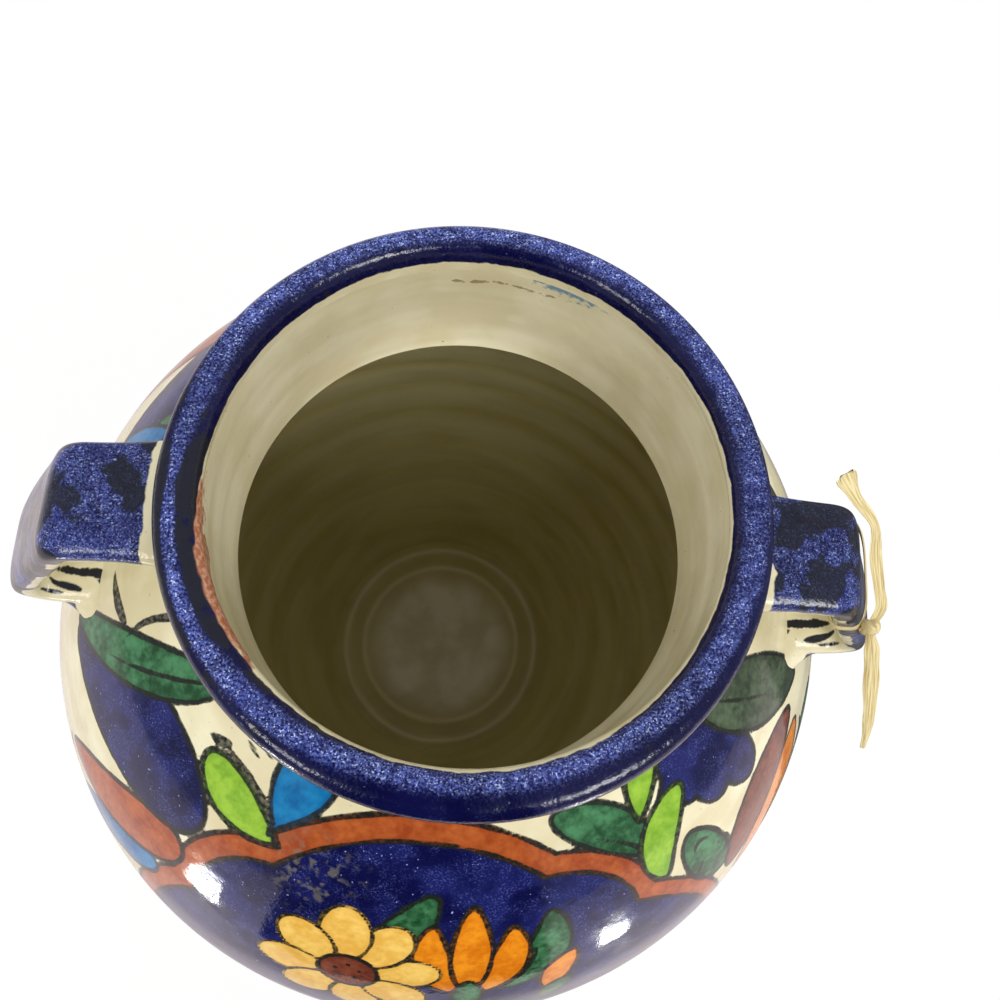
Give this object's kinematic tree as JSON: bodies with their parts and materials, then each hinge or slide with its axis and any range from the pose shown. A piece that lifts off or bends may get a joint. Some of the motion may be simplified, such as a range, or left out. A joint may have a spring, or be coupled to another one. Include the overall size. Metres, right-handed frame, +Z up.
{
  "type": "two-handled vase",
  "caption": "Round-bellied two-handled vase with a short collar, a rolled lip, strap handles and a foot ring, thrown in sections and glazed.",
  "frame": {"origin": "centre of the circle that the foot ring stands on", "axes": "+Z up through the middle of the mouth; +X towards the right handle as the decorated front is faced; -Y towards that front"},
  "size_m": [0.378, 0.378, 0.405],
  "materials": {
    "cream_glaze": "glossy cream tin glaze with painted decoration",
    "cobalt_glaze": "glossy speckled cobalt glaze",
    "bare_clay": "unglazed fired clay, matt",
    "raffia": "dry natural raffia"
  },
  "bodies": {
    "root": {"foot_ring": "bare_clay", "body_lower": "cream_glaze", "body_shoulder": "cream_glaze", "neck_collar": "cream_glaze", "rim_roll": "cobalt_glaze", "handle_right": "cobalt_glaze", "handle_left": "cobalt_glaze", "lute_right_neck": "cream_glaze", "lute_right_shoulder": "cream_glaze", "lute_left_neck": "cream_glaze", "lute_left_shoulder": "cream_glaze", "raffia_tie": "raffia"}
  },
  "joints": []
}
